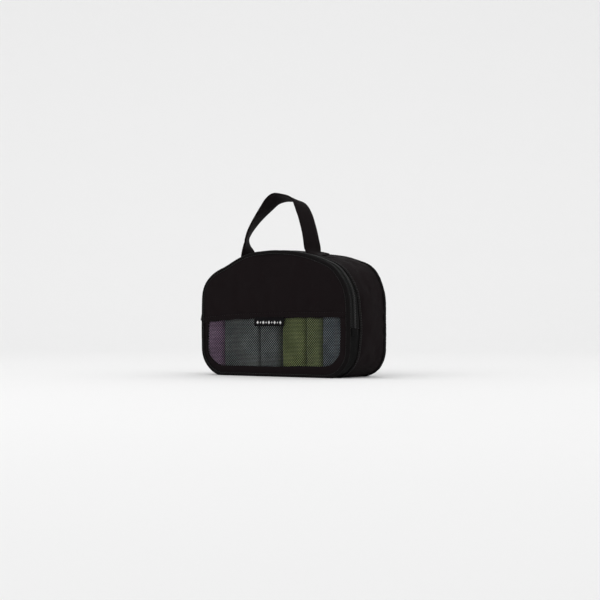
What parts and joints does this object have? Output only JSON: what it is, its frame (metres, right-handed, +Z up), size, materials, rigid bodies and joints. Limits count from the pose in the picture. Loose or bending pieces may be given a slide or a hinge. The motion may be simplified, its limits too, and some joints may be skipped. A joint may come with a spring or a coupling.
{
  "type": "packing cube",
  "caption": "Small upright fabric packing cube with rounded corners, a zip-round flap, a mesh window, a webbing handle and folded clothes inside.",
  "frame": {"origin": "centre of the base that the case stands on, on the floor plane", "axes": "+Z up, -Y the front with the mesh window, +X to the right seen from the front"},
  "size_m": [0.2432, 0.0819, 0.234],
  "materials": {
    "case_fabric": "matt plain-woven polyester",
    "binding": "ribbed binding tape",
    "mesh": "open knitted net",
    "zip_tape": "herringbone zip tape",
    "zip_coil": "satin nylon coil",
    "slider_metal": "satin black lacquer",
    "pull_plastic": "moulded soft plastic",
    "webbing": "flat ribbed webbing",
    "label": "woven label",
    "garment_mauve": "jersey knit",
    "garment_grey": "jersey knit",
    "garment_pale_grey": "jersey knit",
    "garment_green": "jersey knit",
    "garment_olive": "jersey knit",
    "garment_blue": "jersey knit"
  },
  "bodies": {
    "case": {"back_panel": "case_fabric", "main_gusset": "case_fabric", "lower_band": "case_fabric", "back_binding": "binding", "middle_binding": "binding", "inner_seam_tape": "binding", "case_zip_coil": "zip_coil", "case_zip_tape": "zip_tape", "window_border": "case_fabric", "window_mesh": "mesh", "lower_binding": "binding", "zip_end_tab_left": "case_fabric", "zip_end_tab_right": "case_fabric", "handle_anchor_left": "webbing", "handle_anchor_right": "webbing", "garment_mauve": "garment_mauve", "garment_grey": "garment_grey", "garment_pale_grey": "garment_pale_grey", "garment_green": "garment_green", "garment_olive": "garment_olive", "garment_blue": "garment_blue"},
    "flap": {"flap_panel": "case_fabric", "flap_mesh": "mesh", "flap_hem": "case_fabric", "flap_binding": "binding", "flap_zip_coil": "zip_coil", "flap_zip_tape": "zip_tape", "label": "label"},
    "handle": {"handle_webbing": "webbing"},
    "slider_upper": {"zip_slider_upper": "slider_metal"},
    "slider_lower": {"zip_slider_lower": "slider_metal"},
    "pull_upper": {"pull_link_upper": "slider_metal", "pull_tab_upper": "pull_plastic"},
    "pull_lower": {"pull_link_lower": "slider_metal", "pull_tab_lower": "pull_plastic"}
  },
  "joints": [
    {"name": "flap_fold", "type": "hinge", "parent": "case", "child": "flap", "pos_m": [0, -0.0412, 0.062], "axis": [1, 0, 0], "range_deg": [0, 120]},
    {"name": "handle_fold", "type": "hinge", "parent": "case", "child": "handle", "pos_m": [0, -0.015, 0.159], "axis": [1, 0, 0], "range_deg": [-65, 65]},
    {"name": "slider_upper_travel", "type": "hinge", "parent": "case", "child": "slider_upper", "pos_m": [-0.068, -0.028, 0.09882], "axis": [0, 1, 0], "range_deg": [0, 68]},
    {"name": "slider_lower_travel", "type": "slide", "parent": "case", "child": "slider_lower", "axis": [0, 0, -1], "range_m": [0, 0.0145]},
    {"name": "pull_upper_swing", "type": "hinge", "parent": "slider_upper", "child": "pull_upper", "pos_m": [-0.11905, -0.028, 0.09662], "axis": [0, 1, 0], "range_deg": [0, 100]},
    {"name": "pull_lower_swing", "type": "hinge", "parent": "slider_lower", "child": "pull_lower", "pos_m": [-0.11905, -0.028, 0.08112], "axis": [0, 1, 0], "range_deg": [0, 20]}
  ]
}
